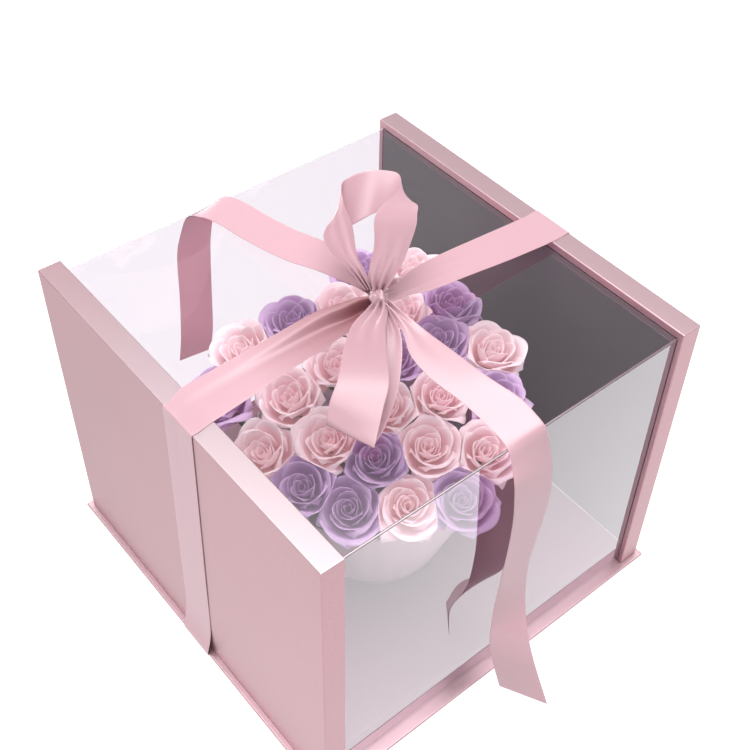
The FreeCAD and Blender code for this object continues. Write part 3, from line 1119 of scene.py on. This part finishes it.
def lapel(where, height, reach, soft=0.03):
    """A fold lengthwise: the band's far side of a line lies higher, fading away from the knot."""
    def lift(part, run):
        return height * math.exp(-(run / reach) ** 2) / (1 + math.exp((part - where) / soft))
    return lift


def groove(where, depth, reach, wide=0.06):
    """A crease lengthwise, fading away from the knot."""
    def lift(part, run):
        return -depth * math.exp(-run / reach - ((part - where) / wide) ** 2)
    return lift


def band_rows(edges, count, gathers, folds, upper, waves):
    """Rows of points across a band between two smooth edges, and its length.

    gathers are the ends, 0 or 1 of the length, where the band is drawn into pleats. folds lift the
    band by the place across it and the way from its start, to the upper side of the edges' turn.
    """
    far, near = (smooth_path(edge, count) for edge in zip(*edges))
    middle = [(a + b) / 2 for a, b in zip(far, near)]
    run = [0.0]
    for before, after in zip(middle, middle[1:]):
        run.append(run[-1] + (after - before).length)
    rows = []
    for step in range(count):
        before = middle[max(0, step - 1)]
        after = middle[min(count - 1, step + 1)]
        across = near[step] - far[step]
        normal = across.cross(after - before).normalized()
        pleat = sum(math.exp(-abs(run[step] - end * run[-1]) / ribbon().gather_reach) for end in gathers)
        row = []
        for i in range(band_columns):
            part = i / (band_columns - 1)
            lift = ribbon().gather_depth * pleat * math.sin(math.tau * waves * (part - 0.5))
            lift += upper * mm * sum(fold(part, run[step] / mm) for fold in folds)
            row.append(far[step].lerp(near[step], part) + normal * lift)
        rows.append(row)
    return rows, run[-1]


def new_band(name, edges, count, gathers, satin, nodes, folds=(), upper=1, waves=2.5):
    """A length of ribbon as a sheet that rides on the ribbon's body."""
    rows, run = band_rows(edges, count, gathers, folds, upper, waves)
    piece = new_piece(name, sheet_maker(rows, ribbon().width, run), satin)
    thicken(piece, ribbon().thickness)
    piece.modifiers.new("Flat edges", "WEIGHTED_NORMAL").weight = broad_weight
    seat(piece, "ribbon", "satin_ribbon", *nodes)


def over_panel(name, side, landing, edge, foot):
    """Edge pairs over the panel's top and outer face, then out over the base's ledge.

    landing, edge and foot are the band's two ends in Y, in millimetres, where it comes onto the
    panel, at the panel's outer edge and at the base.
    """
    low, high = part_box(name + "_panel_tray")
    base_low, base_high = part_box("base_board")
    inner_x = low.x if side > 0 else high.x
    outer_x = (high.x if side > 0 else low.x) + side * clearance
    ledge_x = (base_high.x if side > 0 else base_low.x) + side * clearance
    top_z = high.z + clearance
    bend = 1.5 * mm

    def between(part):
        return [a + (b - a) * part for a, b in zip(edge, foot)]

    places = (
        (inner_x + side * 1 * mm, top_z, landing),
        (outer_x - side * 6 * mm, top_z, edge),
        (outer_x - side * bend, top_z, edge),
        (outer_x - side * 0.3 * bend, top_z - 0.3 * bend, edge),
        (outer_x, top_z - bend, edge),
        (outer_x, top_z - 5 * mm, edge),
        (outer_x, top_z * 0.7, between(0.3)),
        (outer_x, top_z * 0.35, between(0.68)),
        (outer_x, 40 * mm, between(0.92)),
        (ledge_x - side * 3 * mm, 18 * mm, foot),
        (ledge_x, 6 * mm, foot),
        (ledge_x, 1 * mm, foot),
    )
    return [tuple(Vector((x, y * mm, z)) for y in ends) for x, z, ends in places]


class FLOWERBOX_OT_straps(bpy.types.Operator):
    """Ribbon over the top and down both side panels"""

    bl_idname = "flowerbox.straps"
    bl_label = "Straps"

    def execute(self, context):
        looks = strap_glow, glow_through, flat_gloss
        for name, side, knot_shade, top, landing, edge, foot, folds in (
                ("left", -1, 1, left_top, (5, -36), (-1, -38), (15, -23),
                 (lapel(0.30, 6.0, 85, 0.02), groove(0.46, 6.0, 60, 0.16))),
                ("right", 1, 0, right_top, (-4, -42), (-4, -42), (-3, -41),
                 (lapel(0.72, -2.0, 55), groove(0.40, 1.0, 40)))):
            edges = from_knot(top) + over_panel(name, side, landing, edge, foot)
            satin = satin_finish("satin_" + name, *looks, knot_shade)
            new_band(
                name + "_strap", edges, strap_rows, (0,), satin,
                ("ribbon_%s_top" % name, "ribbon_%s_side" % name), folds, side, 0)
        return {"FINISHED"}


knot_points = 40
knot_columns = 16
# Shares of the CAD knot's radius: what the middle has, what the ends lose, and two creases' depths
knot_middle = 0.80
knot_taper = 0.30
slant_crease = 0.12
cross_crease = 0.09


def tie_knot(satin):
    """Short band wrapped round the crossing, drawn into creases."""
    low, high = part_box("bow_knot")
    centre = (low + high) / 2
    half = (high.x - low.x) / 2
    radius = (high.z - low.z) / 2

    def point(step, i):
        angle = math.tau * step / knot_points
        part = 2 * i / knot_columns - 1
        crease = slant_crease * math.cos(7 * part + 2 * angle)
        crease += cross_crease * math.sin(3 * angle - 5 * part)
        reach = radius * (knot_middle - knot_taper * part * part + crease)
        return centre + Vector((half * part, reach * math.cos(angle), reach * math.sin(angle)))

    rows = point_rows(knot_points + 1, knot_columns + 1, point)
    knot = new_piece("bow_tied_knot", sheet_maker(rows, 2 * half, math.tau * radius, True), satin)
    thicken(knot, ribbon().thickness)
    seat(knot, "ribbon", "satin_ribbon", "bow_knot")


class FLOWERBOX_OT_bow(bpy.types.Operator):
    """Knot and the two loops of the bow"""

    bl_idname = "flowerbox.bow"
    bl_label = "Bow"

    def execute(self, context):
        satin = satin_finish("satin_bow", glow_through, bow_glow, bend_gloss)
        for side, loop, rests_on in (
                ("front", front_loop, "clear_top_sheet"), ("back", back_loop, "bow_tied_knot")):
            new_band(
                "bow_%s_loop" % side, from_knot(loop), loop_rows, (0, 1), satin,
                ("bow_loop_" + side,))
        tie_knot(satin)
        return {"FINISHED"}


class FLOWERBOX_OT_tails(bpy.types.Operator):
    """Front and back tails of the ribbon"""

    bl_idname = "flowerbox.tails"
    bl_label = "Tails"

    def execute(self, context):
        for side, edges, count, hanging, gloss in (
                ("front", front_tail, tail_rows, glow_through, bend_gloss),
                ("back", back_tail, strap_rows, tail_glow, flat_gloss)):
            satin = satin_finish("satin_%s_tail" % side, hanging, glow_through, gloss)
            new_band(
                side + "_tail", from_knot(edges), count, (0,), satin,
                ("bow_tail_%s_top" % side, "bow_tail_%s_drop" % side), waves=1.5)
        return {"FINISHED"}


# Stage

# Places and sizes of the two soft lights and the point they look at, in metres
key_place, key_size = (-2.0, -0.6, 1.1), (1.4, 1.4)
fill_place, fill_size = (0.0, 1.9, 0.45), (1.0, 0.7)
light_target = (0, 0, 0.2)
# Width of the camera's sensor, in millimetres
sensor_width = 36
# Where the floor's brightness changes: across the box's left side, and from front to back
floor_side = (-20 * mm, 40 * mm)
floor_depth = (-0.15, 0.35)


def floor_finish():
    """Over-bright white paper, less bright left of the box and behind it, with hardly a shadow on it."""
    finish = Finish("white_table")
    where = finish.place()
    grain = finish.noise(where, 40.0, 3.0)
    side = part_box("left_panel_tray")[0].x
    beside = finish.ramp(finish.axis(where, "X"), side + floor_side[0], side + floor_side[1])
    back = finish.ramp(finish.axis(where, "Y"), *floor_depth)
    left = finish.mix(back, grey(left_floor), grey(back_floor))
    behind = finish.mix(back, white, grey(far_floor))
    return finish.surface(
        Base_Color=finish.mix(grain, grey(0.07), grey(0.09)), Roughness=0.9, Specular_IOR_Level=0.0,
        Emission_Color=finish.mix(beside, left, behind), Emission_Strength=stage().floor_light)


def add_room(scene):
    """White room whose ceiling brightens softly towards the zenith, dimmer on two sides above."""
    room = Finish("room", bpy.data.worlds.new("room"))
    where = room.place("Generated")
    height = room.axis(where, "Z")
    above = room.ramp(height, zenith_reach, 1.0)
    towards = room.add(
        "VectorMath", {"operation": "DOT_PRODUCT"}, {0: where, 1: dim_side}, "Value")
    dim = room.ramp(abs(towards), *dim_spread) * room.ramp(height, *dim_height)
    strength = stage().zenith_light
    sides = room.mix(dim, grey(stage().room_light / strength), grey(stage().dim_light / strength))
    shade = room.mix(above, sides, white)
    scene.world = room.end(
        room.add("Background", None, {"Color": shade, "Strength": strength}), "OutputWorld")


def add_camera(scene):
    data = bpy.data.cameras.new("camera")
    data.lens = stage().lens
    data.sensor_width = sensor_width
    data.shift_x, data.shift_y = stage().shift
    turn = Euler([math.radians(a) for a in stage().camera_turn])
    scene.camera = put(scene, data, stage().camera_place, turn)


def add_light(scene, name, place, size, power):
    data = bpy.data.lights.new(name, "AREA")
    data.shape = "RECTANGLE"
    data.size, data.size_y = size
    data.energy = power
    way = Vector(light_target) - Vector(place)
    put(scene, data, place, way.to_track_quat("-Z", "Y").to_euler())


def put(scene, data, place, turn):
    """A camera or light at its place in the scene."""
    thing = bpy.data.objects.new(data.name, data)
    thing.location = place
    thing.rotation_euler = turn
    scene.collection.objects.link(thing)
    return thing


class FLOWERBOX_OT_stage(bpy.types.Operator):
    """Camera, white floor and soft light"""

    bl_idname = "flowerbox.stage"
    bl_label = "Stage"

    def execute(self, context):
        scene = context.scene
        scene.view_settings.view_transform = "Standard"
        half = stage().floor_size / 2
        rows = [[Vector((x * half, y * half, 0)) for x in (-1, 1)] for y in (-1, 1)]
        floor = new_piece("table", sheet_maker(rows, 1, 1), floor_finish())
        floor.location.z = -floor_drop
        add_camera(scene)
        add_light(scene, "key", key_place, key_size, stage().key_light)
        add_light(scene, "fill", fill_place, fill_size, stage().fill_light)
        add_room(scene)
        return {"FINISHED"}


class FLOWERBOX_PT_pieces(bpy.types.Panel):
    """Lists what makes up the flower box"""

    bl_label = "Flower Box"
    bl_idname = "FLOWERBOX_PT_pieces"
    bl_space_type = "VIEW_3D"
    bl_region_type = "UI"
    bl_category = "Flower Box"

    def draw(self, context):
        for operator in operators:
            self.layout.operator(operator.bl_idname)


operators = (
    FLOWERBOX_OT_base, FLOWERBOX_OT_panels, FLOWERBOX_OT_panes, FLOWERBOX_OT_wrap, FLOWERBOX_OT_roses,
    FLOWERBOX_OT_straps, FLOWERBOX_OT_bow, FLOWERBOX_OT_tails, FLOWERBOX_OT_stage,
)
groups = {
    "flower_box": BoxSettings, "flower_bouquet": BouquetSettings, "flower_ribbon": RibbonSettings,
    "flower_stage": StageSettings,
}


def register():
    for name, group in groups.items():
        bpy.utils.register_class(group)
        setattr(bpy.types.Scene, name, PointerProperty(type=group))
    for operator in operators:
        bpy.utils.register_class(operator)
    bpy.utils.register_class(FLOWERBOX_PT_pieces)


def unregister():
    bpy.utils.unregister_class(FLOWERBOX_PT_pieces)
    for operator in reversed(operators):
        bpy.utils.unregister_class(operator)
    for name, group in groups.items():
        delattr(bpy.types.Scene, name)
        bpy.utils.unregister_class(group)


def main():
    register()
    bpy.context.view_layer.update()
    for operator in operators:
        family, name = operator.bl_idname.split(".")
        getattr(getattr(bpy.ops, family), name)()


if __name__ == "__main__":
    main()
